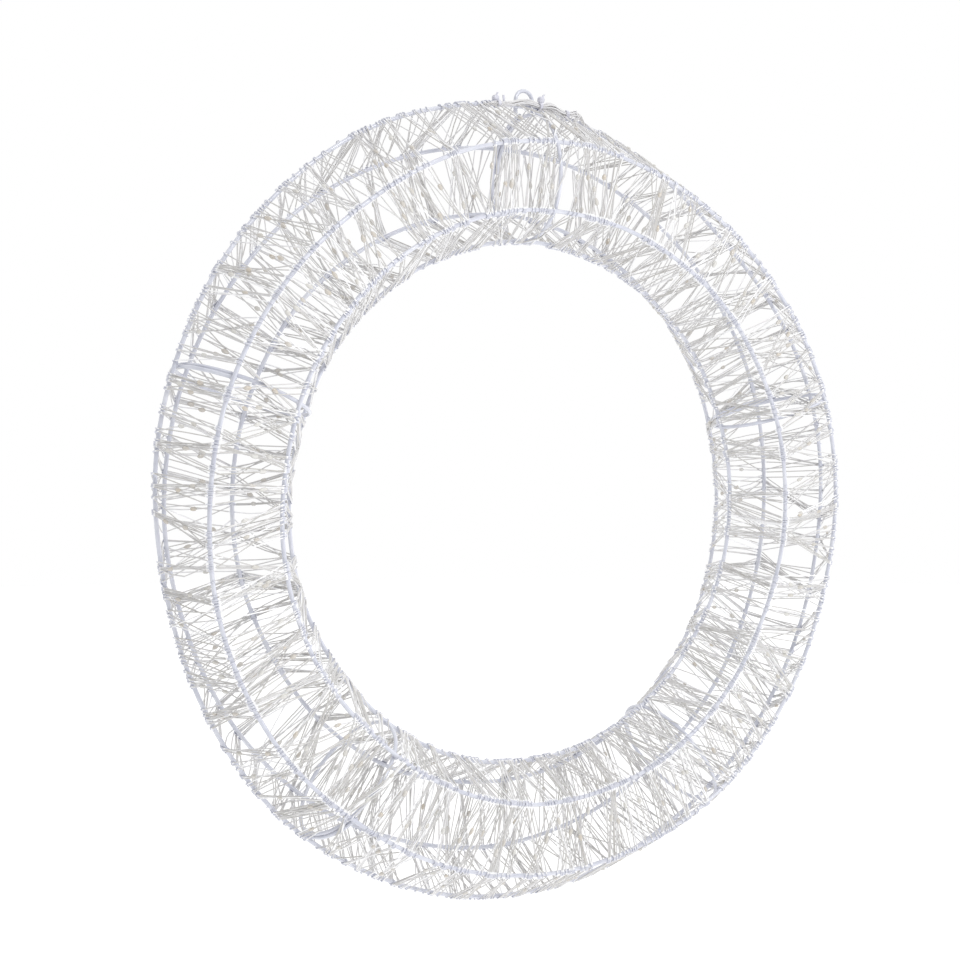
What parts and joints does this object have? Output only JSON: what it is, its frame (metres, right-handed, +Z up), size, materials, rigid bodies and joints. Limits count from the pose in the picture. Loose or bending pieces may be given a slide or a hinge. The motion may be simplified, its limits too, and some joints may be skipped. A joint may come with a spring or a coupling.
{
  "type": "lit wire wreath frame",
  "caption": "Round white wire wreath cage with a hanging eye, wound all over with fine lamp wire and small resin lamp drops, its slack tied at the top.",
  "frame": {"origin": "seat of the hook, at the inside top of the hanging eye, in the middle of the eye's wire", "axes": "+Z up as the wreath hangs, -Y towards the front, ring axis along Y, X across the ring"},
  "size_m": [0.5022, 0.0884, 0.511],
  "materials": {
    "cage_wire": "smooth white coat with a bluish tint",
    "lamp_lead": "milky grey-beige insulation",
    "drop_resin": "translucent beige resin over a yellow chip",
    "tie_plastic": "natural white nylon"
  },
  "bodies": {
    "root": {"ring_outer": "cage_wire", "ring_front_outer": "cage_wire", "ring_front_inner": "cage_wire", "ring_inner": "cage_wire", "ring_back_inner": "cage_wire", "ring_back_outer": "cage_wire", "hoop_top": "cage_wire", "hoop_upper_left": "cage_wire", "hoop_lower_left": "cage_wire", "hoop_lower_right": "cage_wire", "hoop_upper_right": "cage_wire", "hanging_eye": "cage_wire", "lead_bundle": "lamp_lead", "cable_tie_left": "tie_plastic", "cable_tie_middle": "tie_plastic", "cable_tie_right": "tie_plastic", "lamp_wire_01": "lamp_lead", "lamp_wire_02": "lamp_lead", "lamp_wire_03": "lamp_lead", "lamp_wire_04": "lamp_lead", "lamp_wire_05": "lamp_lead", "lamp_wire_06": "lamp_lead", "lamp_wire_07": "lamp_lead", "lamp_wire_08": "lamp_lead", "lamp_wire_09": "lamp_lead", "lamp_wire_10": "lamp_lead", "lamp_wire_11": "lamp_lead", "lamp_wire_12": "lamp_lead", "lamp_wire_13": "lamp_lead", "lamp_wire_14": "lamp_lead", "lamp_wire_15": "lamp_lead", "lamp_wire_16": "lamp_lead", "lamp_wire_17": "lamp_lead", "lamp_wire_18": "lamp_lead", "lamp_wire_19": "lamp_lead", "lamp_wire_20": "lamp_lead", "lamp_drops_01": "drop_resin", "lamp_drops_02": "drop_resin", "lamp_drops_03": "drop_resin", "lamp_drops_04": "drop_resin", "lamp_drops_05": "drop_resin", "lamp_drops_06": "drop_resin", "lamp_drops_07": "drop_resin", "lamp_drops_08": "drop_resin", "lamp_drops_09": "drop_resin", "lamp_drops_10": "drop_resin", "lamp_drops_11": "drop_resin", "lamp_drops_12": "drop_resin", "lamp_drops_13": "drop_resin", "lamp_drops_14": "drop_resin", "lamp_drops_15": "drop_resin", "lamp_drops_16": "drop_resin", "lamp_drops_17": "drop_resin", "lamp_drops_18": "drop_resin", "lamp_drops_19": "drop_resin", "lamp_drops_20": "drop_resin"}
  },
  "joints": []
}
